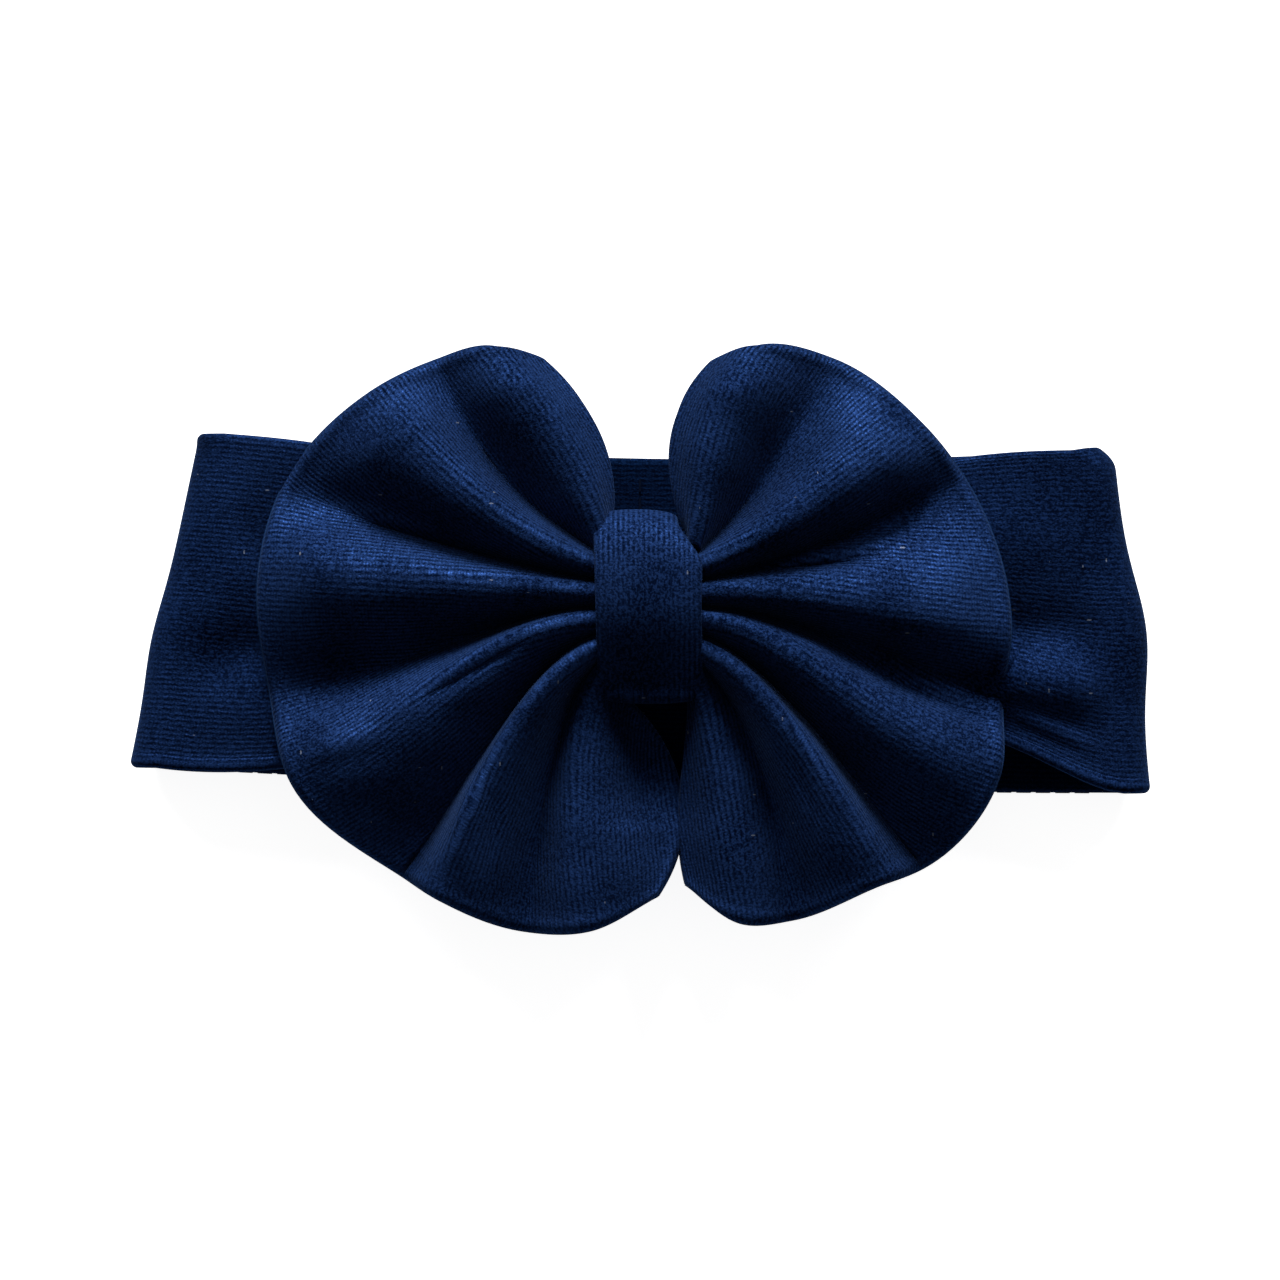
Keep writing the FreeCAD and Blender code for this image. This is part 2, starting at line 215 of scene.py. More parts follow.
def ripple(x, y, seed=7, waves=14):
    """Slight unevenness of the cloth: many low waves in all directions, between -2 and 2 or so."""
    draw = np.random.default_rng(seed)
    total = np.zeros_like(x)
    for _ in range(waves):
        heading, phase = draw.uniform(0, 2 * math.pi, 2)
        count = draw.uniform(150, 620)
        total += np.sin(count * (x * math.cos(heading) + y * math.sin(heading)) + phase)
    return total / math.sqrt(waves)


def grid_normals(grid):
    """Which way a grid of points faces at each of them."""
    normal = np.cross(np.gradient(grid, axis=0), np.gradient(grid, axis=1))
    length = np.linalg.norm(normal, axis=2, keepdims=True)
    return normal / np.maximum(length, 1e-12)


def lengths(grid, axis):
    """How far each point of a grid is along its own row or column."""
    steps = np.linalg.norm(np.diff(grid, axis=axis), axis=2)
    start = np.zeros_like(np.take(steps, [0], axis=axis))
    return np.concatenate([start, np.cumsum(steps, axis=axis)], axis=axis)


def ridge(points, start, end, width, height):
    """A low ridge along a line in plan, fading out at both ends."""
    start, end = np.array(start), np.array(end)
    run = end - start
    away = points[..., :2] - start
    along = np.clip((away @ run) / (run @ run), 0, 1)
    aside = np.linalg.norm(away - along[..., None] * run, axis=-1)
    return height * np.sin(np.pi * along) ** 0.7 * np.exp(-(aside / width) ** 2)


def cell_corners(values):
    """The values at the four corners of each cell of a grid, in the order of its faces."""
    return np.stack([values[:-1, :-1], values[:-1, 1:], values[1:, 1:], values[1:, :-1]], axis=2)


def end_faces(top, low):
    """The faces that close a row of points to the row below it, with three corners where the rows meet."""
    return [list(dict.fromkeys((b, a, d, c))) for a, b, c, d in zip(top, top[1:], low[1:], low)]


def looks_down(points, face):
    a, b, c = (points[corner] for corner in face[:3])
    return np.cross(b - a, c - a)[2] < 0


def cloth_object(name, grid, half, uv, material):
    """A closed mesh of two layers round a grid of points on the cloth's middle surface.

    half is how far each layer stands off the middle; where it is 0 the layers meet in an edge.
    uv holds, for each cell of the grid, the cloth coordinates of its four corners.
    """
    normal = grid_normals(grid)
    if normal[..., 2].mean() < 0:
        normal = -normal
    offset = normal * half[..., None]
    points = np.concatenate([(grid + offset).reshape(-1, 3), (grid - offset).reshape(-1, 3)])
    met = half <= 1e-7
    top = np.arange(half.size).reshape(half.shape)
    low = np.where(met, top, top + half.size)
    faces = cell_corners(top).reshape(-1, 4).tolist()
    faces += cell_corners(low).reshape(-1, 4)[:, ::-1].tolist()
    uvs = [*uv.reshape(-1, 4, 2), *uv.reshape(-1, 4, 2)[:, ::-1]]
    for row, step in ((0, 1), (-1, -1)):
        if not met[row].all():
            faces += end_faces(top[row][::step].tolist(), low[row][::step].tolist())
    uvs += [np.zeros((len(face), 2)) for face in faces[len(uvs):]]
    if looks_down(points, faces[0]):
        faces = [face[::-1] for face in faces]
        uvs = [corners[::-1] for corners in uvs]
    mesh = bpy.data.meshes.new(name)
    mesh.from_pydata(points.tolist(), [], faces)
    put_uv(mesh, np.concatenate(uvs))
    return finish_object(name, mesh, material)


def put_uv(mesh, uvs):
    """Gives the mesh its cloth coordinates: one pair for each corner of each face."""
    layer = mesh.uv_layers.new(name="cloth")
    layer.data.foreach_set("uv", np.asarray(uvs, np.float32).ravel())


def finish_object(name, mesh, material):
    """Smooths a mesh, drops the points that no face uses and puts it in the scene."""
    mesh.polygons.foreach_set("use_smooth", [True] * len(mesh.polygons))
    bm = bmesh.new()
    bm.from_mesh(mesh)
    bmesh.ops.delete(bm, geom=[v for v in bm.verts if not v.link_faces], context="VERTS")
    bm.to_mesh(mesh)
    bm.free()
    mesh.materials.append(material)
    obj = bpy.data.objects.new(name, mesh)
    bpy.context.scene.collection.objects.link(obj)
    return obj


def rounded(distance):
    """The share of the full thickness at a distance from an edge that rounds over."""
    t = np.clip(distance / EDGE_ROLL, 0, 1)
    return np.sqrt(np.maximum(1 - (1 - t) ** 2, 0))


def thickness(edge):
    """Half the cloth's thickness at each point of a grid whose rows end at its edges."""
    half = HALF * rounded(edge)
    half[:, 0] = half[:, -1] = 0
    return half


# ---------------------------------------------------------------- the bow's wings

DROOP_FAR, DROOP_NEAR = 0.50, 0.15   # the share of their height that the pleats lose at the rim
DROOP_REACH = 0.0110          # how far in from the rim that begins
DROOP_FROM, DROOP_OVER = -0.020, 0.030   # the one share turns into the other from this Y, over this
RIM_FLOOR = 0.0118            # the height that they fall towards
RIM_SWELL, RIM_SWELL_IN, RIM_SWELL_WIDTH = 0.00025, 0.0016, 0.0011   # the seam's roll inside the rim
RIPPLE_HEIGHT = 0.00014       # the cloth's unevenness, which fades towards the knot
RIPPLE_CLEAR = 0.030
FOLD_POWER = 1.2              # more makes the crests broader and the valleys narrower
COLUMNS = 14                  # across one pleat, from crest to valley
ROWS = 76                     # along a pleat, from neck to rim
EDGE_ROWS = 12                # more of them, close together at an edge
EDGE_BAND = 0.045             # the last share of a pleat line, where they are
SIDE_BAND = 0.22              # the last share of the first and last pleat, where they are


def crowded(count, band):
    """Shares from 0 to 1 that crowd together over the last band."""
    plain = np.linspace(0, 1 - band, count)
    close = 1 - band * (1 - np.arange(1, EDGE_ROWS + 1) / EDGE_ROWS) ** 2
    return np.concatenate([plain, close])


def across_shares(pleats):
    """Where the columns fall, in pleats counted from the far edge."""
    shares = [0.0]
    last = len(pleats) - 2
    for i in range(len(pleats) - 1):
        t = np.linspace(0, 1, COLUMNS + 1)[1:]
        if i == 0:
            t = 1 - crowded(COLUMNS, SIDE_BAND)[::-1][1:]
        if i == last:
            t = crowded(COLUMNS, SIDE_BAND)[1:]
        shares += list(i + t)
    return np.array(shares)


def wing_lines(pleats, neck_x):
    """The pleat lines themselves, sampled along their length."""
    along = crowded(ROWS, EDGE_BAND)
    lines = []
    for i, (kind, pull_1, pull_2, rim, belly, rim_height) in enumerate(pleats):
        y = NECK_FAR + (NECK_NEAR - NECK_FAR) * i / (len(pleats) - 1)
        arch = math.sqrt(max(0.0, 1 - ((y - NECK_TOP) / NECK_ARCH) ** 2))
        base, rise = NECK_HEIGHT[kind]
        near_neck, far_out = belly if isinstance(belly, tuple) else (belly, belly)
        controls = ((neck_x, y, base + rise * arch), (*pull_1, near_neck), (*pull_2, far_out),
                    (*rim, rim_height))
        lines.append(bezier(controls, along))
    return np.array(lines)


def crossings(plan):
    """How far it is from each pleat line to the next, and the direction across at each line."""
    steps = np.linalg.norm(np.diff(plan, axis=0), axis=2) + 1e-9
    slopes = np.diff(plan, axis=0) / steps[..., None]
    weight = (steps[1:] / (steps[1:] + steps[:-1]))[..., None]
    between = slopes[:-1] * weight + slopes[1:] * (1 - weight)
    return steps, np.concatenate([slopes[:1], between, slopes[-1:]])


def hermite(t, start, end, start_pull, end_pull):
    """A point on the curve that leaves start along one pull and reaches end along the other."""
    return ((2 * t ** 3 - 3 * t ** 2 + 1) * start + (t ** 3 - 2 * t ** 2 + t) * start_pull
            + (3 * t ** 2 - 2 * t ** 3) * end + (t ** 3 - t ** 2) * end_pull)


def wing_grid(pleats, neck_x):
    """The middle surface of a wing: pleat lines joined by curves in plan and rounded folds in height."""
    lines = wing_lines(pleats, neck_x)
    plan, height = lines[..., :2], lines[..., 2]
    steps, across = crossings(plan)
    grid = []
    for share in across_shares(pleats):
        i = min(int(share), len(pleats) - 2)
        t = share - i
        step = steps[i][:, None]
        xy = hermite(t, plan[i], plan[i + 1], step * across[i], step * across[i + 1])
        rising = height[i] < height[i + 1]
        fold = np.where(rising, 1 - smooth((1 - t) ** FOLD_POWER), smooth(t ** FOLD_POWER))
        grid.append(np.column_stack([xy, height[i] + (height[i + 1] - height[i]) * fold]))
    return np.array(grid)


def wing_uv(grid, pleats):
    """Cloth coordinates for each cell: across the ribs in u, along them in v.

    The ribs keep their true spacing on each pleat's crest, and the cloth that doesn't fit is
    tucked away in the valleys.
    """
    shares = across_shares(pleats)
    across = lengths(grid, 0)
    along = lengths(grid, 1)
    crests = [i for i, row in enumerate(pleats) if row[0] == "crest"]
    at_crest = [int(np.argmin(abs(shares - c))) for c in crests]
    middles = (shares[:-1] + shares[1:]) / 2
    nearest = np.array([min(range(len(crests)), key=lambda k: abs(crests[k] - m)) for m in middles])
    uv = np.empty((grid.shape[0] - 1, grid.shape[1] - 1, 4, 2))
    for cell, crest in enumerate(nearest):
        column = at_crest[crest]
        u = across[cell:cell + 2] - across[column] + across[column, -1]
        uv[cell, ..., 0] = cell_corners(u)[0]
        uv[cell, ..., 1] = cell_corners(along[cell:cell + 2])[0]
    return uv


def shape_wing(grid, ridges, knot_side):
    """Adds a wing's small ridges, its unevenness and its fall to the rim.

    Gives back how far each point is from the nearest edge.
    """
    for row in ridges:
        grid[..., 2] += ridge(grid, *row)
    x, y, z = grid[..., 0], grid[..., 1], grid[..., 2]
    clear = smooth((abs(x - knot_side) + abs(y - KNOT_MIDDLE.y)) / RIPPLE_CLEAR)
    z += RIPPLE_HEIGHT * clear * ripple(x, y)
    across, along = lengths(grid, 0), lengths(grid, 1)
    from_rim = along[:, -1:] - along
    droop = DROOP_NEAR + (DROOP_FAR - DROOP_NEAR) * smooth((y[:, -1:] - DROOP_FROM) / DROOP_OVER)
    z -= (z - RIM_FLOOR) * droop * smooth(1 - from_rim / DROOP_REACH)
    return np.minimum(from_rim, np.minimum(across, across[-1:] - across))


def make_wing(name, pleats, ridges, side, material):
    knot_side = KNOT_LOW.x if side < 0 else KNOT_HIGH.x
    grid = wing_grid(pleats, knot_side - side * NECK_SUNK)
    edge = shape_wing(grid, ridges, knot_side)
    swell = RIM_SWELL * np.exp(-((edge - RIM_SWELL_IN) / RIM_SWELL_WIDTH) ** 2)
    half = (HALF + swell) * rounded(edge)
    half[0, :] = half[-1, :] = half[:, -1] = 0
    turned, half = np.swapaxes(grid, 0, 1), np.swapaxes(half, 0, 1)
    uv = np.swapaxes(wing_uv(grid, pleats), 0, 1)[:, :, [0, 3, 2, 1]]
    wing = cloth_object(f"{name}_wing", turned, half, uv, material)
    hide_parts(*(f"{name}_wing_{part}" for part in ("front", "back", "root_front", "root_back")))
    bend_with_wing(wing)
    return wing, grid


def bend_with_wing(piece):
    """Bakes a piece's placement into its points."""
    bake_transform(piece)


# ---------------------------------------------------------------- the band

def across_band():
    """Shares from the far edge to the near one, closer together at both."""
    return 0.5 - 0.5 * np.cos(np.pi * np.linspace(0, 1, BAND_COLUMNS))


def fold_swell(side, height, middle, width, corner):
    """How far an end fold stands out of its straight line, at each point across the band.

    It swells by height about the middle, and its far corner is drawn in, or out if corner is negative.
    """
    across = across_band()
    outward = height * np.exp(-((across - middle) / width) ** 2)
    return side * (outward - corner * np.clip(1 - across / CORNER_REACH, 0, 1) ** 2)


def end_fold_rows(turn, side, swell):
    """The band's half turn from the table up to its front."""
    radius = TURN_RADIUS - HALF
    (far_x, far_y), (near_x, near_y) = turn
    across = across_band()
    y = far_y + (near_y - far_y) * across
    rows = []
    for angle in np.linspace(-math.pi / 2, math.pi / 2, FOLD_ROWS)[:-1]:
        x = far_x + (near_x - far_x) * across + side * radius * math.cos(angle) + swell
        rows.append(np.column_stack([x, y, np.full_like(x, TURN_RADIUS + radius * math.sin(angle))]))
    return rows


def band_front_grid(turn, side, pulls, ridges, swell):
    """From under the end fold, round it, and along the front to inside the knot."""
    far_pulls, near_pulls = pulls
    knot_x = (KNOT_LOW.x if side < 0 else KNOT_HIGH.x) - side * BAND_SUNK
    (far_x, far_y), (near_x, near_y) = turn
    across, along = across_band()[:, None], np.linspace(0, 1, FRONT_ROWS)
    far = bezier(((far_x, far_y), *far_pulls, (knot_x, BAND_NECK_FAR)), along)
    near = bezier(((near_x, near_y), *near_pulls, (knot_x, BAND_NECK_NEAR)), along)
    top = 2 * TURN_RADIUS - HALF
    front = []
    for i, share in enumerate(along):
        line = far[i] + (near[i] - far[i]) * across
        line[:, 0] += swell * (1 - smooth(share / SWELL_REACH))
        height = top + (BAND_NECK_HEIGHT - top) * smooth(share)
        front.append(np.column_stack([line, np.full(BAND_COLUMNS, height)]))
    front = np.array(front)
    clear_of_fold = smooth(along / RIDGE_REACH)[:, None]
    for row in ridges:
        front[..., 2] += ridge(front, *row) * clear_of_fold
    return np.concatenate([end_fold_rows(turn, side, swell), front])


def flat_uv(grid, width):
    """Cloth coordinates for a grid whose rows cross the band."""
    along = lengths(grid, 0).mean(axis=1)
    across = lengths(grid, 1)[0]
    u = np.broadcast_to(across / across[-1] * width, grid.shape[:2])
    v = np.broadcast_to(along[:, None], grid.shape[:2])
    return np.stack([cell_corners(u), cell_corners(v)], axis=-1)


def from_edges(grid):
    """How far each point is from the nearer end of its own row."""
    across = lengths(grid, 1)
    return np.minimum(across, across[:, -1:] - across)


def bend_with_band(piece, turn, side):
    """Works out which way the knot lies from the end fold, which nothing uses, and bakes the front half's
    placement into its points.
    """
    (far_x, far_y), (near_x, near_y) = turn
    toward_knot = Vector((far_y - near_y, near_x - far_x, 0)).normalized()
    if toward_knot.x * side > 0:
        toward_knot = -toward_knot
    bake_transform(piece)


def make_band_front(name, turn, side, pulls, ridges, swell, material):
    grid = band_front_grid(turn, side, pulls, ridges, fold_swell(side, *swell))
    across = lengths(grid, 1)
    from_near = across[:, -1:] - across
    grid[..., 2] += HEM_HEIGHT * np.exp(-((from_near - EDGE_ROLL) / HEM_WIDTH) ** 2)
    half = thickness(from_edges(grid))
    piece = cloth_object(f"band_front_{name}", grid, half, flat_uv(grid, BAND_WIDTH), material)
    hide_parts(*(f"{part}_{name}_{layer}" for part in ("band_front", "end_fold")
                         for layer in ("outer", "inner")))
    bend_with_band(piece, turn, side)
    return piece, grid


def make_band_back(material):
    along = np.linspace(0, 1, BACK_ROWS)
    far = bezier(((*LEFT_TURN[0], HALF), *((*pull, HALF) for pull in BACK_FAR_PULLS),
                  (*RIGHT_TURN[0], HALF)), along)
    near = bezier(((*LEFT_TURN[1], HALF), *((*pull, HALF) for pull in BACK_NEAR_PULLS),
                   (*RIGHT_TURN[1], HALF)), along)
    grid = far[:, None] + (near - far)[:, None] * across_band()[None, :, None]
    half = thickness(from_edges(grid))
    piece = cloth_object("band_back", grid, half, flat_uv(grid, BAND_WIDTH), material)
    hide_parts("band_back_outer", "band_back_inner")
    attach(piece, "band_back")
    return piece, grid


# ---------------------------------------------------------------- the knot

def knot_line():
    """The middle of the wrapped strip, once round the knot, and which way is out from each point."""
    half_y = (KNOT_HIGH.y - KNOT_LOW.y) / 2 - KNOT_STRIP / 2
    half_z = (KNOT_HIGH.z - KNOT_LOW.z) / 2 - KNOT_STRIP / 2
    angle = np.linspace(0, 2 * math.pi, KNOT_TURNS, endpoint=False)
    c, s = np.cos(angle), np.sin(angle)
    y = KNOT_MIDDLE.y + half_y * np.sign(c) * abs(c) ** (2 / KNOT_POWER)
    z = KNOT_MIDDLE.z + half_z * np.sign(s) * abs(s) ** (2 / KNOT_POWER)
    z -= KNOT_FALL * smooth((KNOT_CREST - y) / KNOT_RUN) * smooth((z - KNOT_MIDDLE.z) / half_z * 1.5)
    line = np.column_stack([np.zeros(KNOT_TURNS), y, z])
    tangent = np.roll(line, -1, axis=0) - np.roll(line, 1, axis=0)
    normal = np.column_stack([np.zeros(KNOT_TURNS), tangent[:, 2], -tangent[:, 1]])
    normal /= np.linalg.norm(normal, axis=1, keepdims=True)
    return line, normal


def knot_sides(line):
    """The strip's left and right sides at each point: at the far end its right side slants in."""
    share = (line[:, 1] - KNOT_MIDDLE.y) / (line[:, 1].max() - KNOT_MIDDLE.y)
    slant = KNOT_SLANT * smooth((share - SLANT_FROM) / (1 - SLANT_FROM))
    left = KNOT_LOW.x + KNOT_LEFT_SLANT * (1 - share)
    right = KNOT_HIGH.x - slant - KNOT_WAIST * (1 - abs(share))
    return left[:, None], right[:, None]


def looped_corners(values):
    """The values at the four corners of each face of a mesh that closes on itself both ways."""
    aside = np.roll(values, -1, axis=1)
    return np.stack([values, aside, np.roll(aside, -1, axis=0), np.roll(values, -1, axis=0)], axis=-1)


def make_knot(material):
    """The strip wrapped round the gathers: a closed loop, crowned across and rolled at its sides."""
    line, normal = knot_line()
    angle = 2 * math.pi * np.arange(KNOT_AROUND) / KNOT_AROUND
    c, s = np.cos(angle), np.sin(angle)
    across = np.sign(c) * abs(c) ** STRIP_SIDES
    off = KNOT_STRIP / 2 * np.sign(s) * abs(s) ** STRIP_FACES + KNOT_CROWN * (1 - across ** 2)
    points = line[:, None] + normal[:, None] * off[None, :, None]
    left, right = knot_sides(line)
    points[..., 0] = (left + right) / 2 + (right - left) / 2 * across
    steps = np.linalg.norm(np.diff(line, axis=0, append=line[:1]), axis=1)
    start = (np.cumsum(steps) - steps)[:, None] + np.zeros(KNOT_AROUND)
    end = start + steps[:, None]
    index = np.arange(KNOT_TURNS * KNOT_AROUND).reshape(KNOT_TURNS, KNOT_AROUND)
    mesh = bpy.data.meshes.new("knot_wrap")
    faces = looped_corners(index).reshape(-1, 4).tolist()
    mesh.from_pydata(points.reshape(-1, 3).tolist(), [], faces)
    u = looped_corners(points[..., 0])
    v = np.stack([start, start, end, end], axis=-1)
    put_uv(mesh, np.stack([u, v], axis=-1))
    bm = bmesh.new()
    bm.from_mesh(mesh)
    bmesh.ops.recalc_face_normals(bm, faces=bm.faces)
    bm.to_mesh(mesh)
    bm.free()
    knot = finish_object("knot_wrap", mesh, material)
    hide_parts("knot_wrap_over", "knot_wrap_under")
    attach(knot, "band_front")
    return knot


# ---------------------------------------------------------------- gathers and threads

def make_gather(name, left_line, right_line, material, node):
    """The cloth inside the knot, joining the ends of two pieces that go into it."""
    share = np.linspace(-BUNDLE_OVERLAP, 1 + BUNDLE_OVERLAP, BUNDLE_ROWS)[:, None, None]
    grid = left_line[None] + (right_line - left_line)[None] * share
    floor = grid[..., 2].min()
    grid[..., 2] = floor + (grid[..., 2] - floor) * BUNDLE_SQUEEZE
    half = thickness(from_edges(grid))
    piece = cloth_object(name, grid, half, flat_uv(grid, lengths(grid, 1)[0, -1]), material)
    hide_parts(node)
    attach(piece, "band_front")
    return piece


def tube(points, radius, sides=6):
    """Vertices and faces of a round thread along a line of points, closed at both ends."""
    points = np.array(points, float)
    ahead = np.gradient(points, axis=0)
    ahead /= np.maximum(np.linalg.norm(ahead, axis=1, keepdims=True), 1e-12)
    side = np.cross(ahead, (0.0, 0.0, 1.0))
    side /= np.maximum(np.linalg.norm(side, axis=1, keepdims=True), 1e-12)
    up = np.cross(side, ahead)
    angles = 2 * math.pi * np.arange(sides) / sides
    rings = [points + radius * (math.cos(a) * side + math.sin(a) * up) for a in angles]
    vertices = np.stack(rings, axis=1).reshape(-1, 3)
    faces = []
    for i in range(len(points) - 1):
        for k in range(sides):
            j = (k + 1) % sides
            faces.append((i * sides + k, i * sides + j, (i + 1) * sides + j, (i + 1) * sides + k))
    faces.append(tuple(range(sides))[::-1])
    faces.append(tuple((len(points) - 1) * sides + k for k in range(sides)))
    return vertices, faces


def thread_object(name, runs, radius, material):
    """One mesh of several runs of thread."""
    vertices, faces = [], []
    for run in runs:
        more, rings = tube(run, radius)
        faces += [tuple(v + len(vertices) for v in face) for face in rings]
        vertices += more.tolist()
    mesh = bpy.data.meshes.new(name)
    mesh.from_pydata(vertices, [], faces)
    return finish_object(name, mesh, material)


def stitches(line, length=0.0026, gap=0.0009, margin=0.001):
    """A line of points cut into running stitches, with a margin at both ends."""
    step = np.linalg.norm(np.diff(line, axis=0), axis=1)
    place = np.concatenate([[0], np.cumsum(step)])
    runs, start = [], margin
    while start + length < place[-1] - margin:
        at = np.linspace(start, start + length, 6)
        runs.append(np.column_stack([np.interp(at, place, line[:, k]) for k in range(3)]))
        start += length + gap
    return runs


def make_rim_seam(name, grid, material):
    """The thread that closes the wing's rim, sunk in the rolled edge."""
    seam = thread_object(f"{name}_rim_seam", [grid[3:-3, -1]], RIM_THREAD, material)
    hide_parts(f"{name}_wing_rim_thread")
    bend_with_wing(seam)
    return seam


def loop(x, y, z, half_y, half_z, points=48):
    """A closed oval line across the knot."""
    angle = np.linspace(0, 2 * math.pi, points)
    return np.column_stack([np.full(points, x), y + half_y * np.cos(angle), z + half_z * np.sin(angle)])


def make_gather_thread(material):
    """The thread wound round the gathered bow, inside the knot."""
    near, far = NECK_NEAR - HALF, NECK_FAR + HALF
    loops = [loop(KNOT_MIDDLE.x + WOUND_STEP * k, (near + far) / 2, WOUND_MIDDLE, (far - near) / 2,
                  WOUND_HALF) for k in range(-2, 3)]
    thread = thread_object("bow_gather_loops", loops, KNOT_THREAD, material)
    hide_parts("bow_gather_thread")
    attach(thread, "band_front")
    return thread


def make_closing_thread(material):
    """The stitches that close the wrapped strip, under the knot."""
    line, normal = knot_line()
    under = (line[:, 2] < KNOT_MIDDLE.z) & (abs(line[:, 1] - KNOT_MIDDLE.y) < STITCHED)
    seam = (line + normal * (KNOT_STRIP / 2 + KNOT_CROWN))[under]
    seam[:, 0] = KNOT_MIDDLE.x
    thread = thread_object("knot_closing_stitches", stitches(seam), KNOT_THREAD, material)
    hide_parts("knot_closing_thread")
    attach(thread, "band_front")
    return thread


def make_long_seam(grid, material):
    """The stitches that close the tube, along the near edge of the band's back."""
    seam = thread_object("band_long_seam", stitches(grid[2:-2, -1]), SEAM_THREAD, material)
    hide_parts("band_long_seam_thread")
    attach(seam, "band_back")
    return seam


# ---------------------------------------------------------------- materials

class Nodes:
    """A new material, and a short way to build its node tree."""

    def __init__(self, name):
        self.material = bpy.data.materials.new(name)
        self.material.use_nodes = True
        self.tree = self.material.node_tree
        self.tree.nodes.clear()

    def add(self, kind, inputs=None, **settings):
        node = self.tree.nodes.new(kind)
        for key, value in settings.items():
            setattr(node, key, value)
        for key, value in (inputs or {}).items():
            self.put(node.inputs[key], value)
        return node

    def put(self, socket, value):
        """Links a socket to an output, or sets it to a plain value."""
        if isinstance(value, bpy.types.NodeSocket):
            self.tree.links.new(value, socket)
        else:
            socket.default_value = value

    def math(self, operation, a, b=0.0, c=0.0):
        node = self.add("ShaderNodeMath", {0: a, 1: b, 2: c}, operation=operation)
        return node.outputs[0]

    def noise(self, place, scale, detail, roughness=0.5):
        inputs = {"Vector": place, "Scale": scale, "Detail": detail, "Roughness": roughness}
        return self.add("ShaderNodeTexNoise", inputs).outputs["Fac"]

    def span(self, value, low, high):
        """0 below low, 1 above high and straight between."""
        inputs = {"Value": value, "From Min": low, "From Max": high}
        return self.add("ShaderNodeMapRange", inputs).outputs[0]

    def mix(self, share, first, second):
        node = self.add("ShaderNodeMix", data_type="RGBA")
        sockets = [s for s in node.inputs if s.type == "RGBA"]
        self.put(node.inputs[0], share)
        for socket, colour in zip(sockets, (first, second)):
            self.put(socket, (*colour, 1) if isinstance(colour, tuple) else colour)
        return [s for s in node.outputs if s.type == "RGBA"][0]

    def wave(self, value, pitch):
        """The sine of a length, with one full turn each pitch."""
        return self.math("SINE", self.math("MULTIPLY", value, 2 * math.pi / pitch))

    def lint(self, place, scale):
        """Sparse short specks, longest where the scale is least."""
        stretched = self.add("ShaderNodeMapping", {"Vector": place, "Scale": scale}).outputs[0]
        speck = self.add("ShaderNodeTexVoronoi", {"Vector": stretched, "Scale": 1.0})
        near = self.math("LESS_THAN", speck.outputs["Distance"], 0.07)
        chosen = self.add("ShaderNodeSeparateColor", {0: speck.outputs["Color"]}).outputs[0]
        return self.math("MULTIPLY", near, self.math("LESS_THAN", chosen, 0.12))

    def finish(self, inputs, constants):
        """The material with its shader: inputs may be linked, constants are set on the sockets."""
        shader = self.add("ShaderNodeBsdfPrincipled", inputs)
        for key, value in constants.items():
            shader.inputs[key].default_value = value
        out = self.add("ShaderNodeOutputMaterial")
        self.tree.links.new(shader.outputs["BSDF"], out.inputs["Surface"])
        return self.material


RIB_DEPTH, PILE_DEPTH = 0.000045, 0.00005   # how deep the bump is
LINT = (0.15, 0.17, 0.21)


def ribs(n, uv, place):
    """The ribs' height, and how much they show, which comes and goes."""
    split = n.add("ShaderNodeSeparateXYZ", {0: uv})
    drift = n.math("MULTIPLY", n.math("SUBTRACT", n.noise(place, 260.0, 2.0), 0.5), 0.0005)
    rib = n.math("MULTIPLY_ADD", n.wave(n.math("ADD", split.outputs["X"], drift), RIB_PITCH), 0.5, 0.5)
    bead = n.math("MULTIPLY_ADD", n.wave(split.outputs["Y"], COURSE_PITCH), 0.25, 0.75)
    strong = n.span(n.noise(place, 60.0, 1.0), 0.3, 0.6)
    return rib, n.math("MULTIPLY", n.math("MULTIPLY", rib, bead), strong)


def pile(n, uv, place):
    """The grain of the pile."""
    strands = n.add("ShaderNodeMapping", {"Vector": uv, "Scale": (1900.0, 900.0, 1.0)}).outputs[0]
    coarse, fine = n.noise(strands, 1.0, 2.0, 0.65), n.noise(place, 2400.0, 1.0, 0.6)
    return n.span(n.math("MULTIPLY", n.math("ADD", coarse, fine), 0.5), 0.44, 0.58)


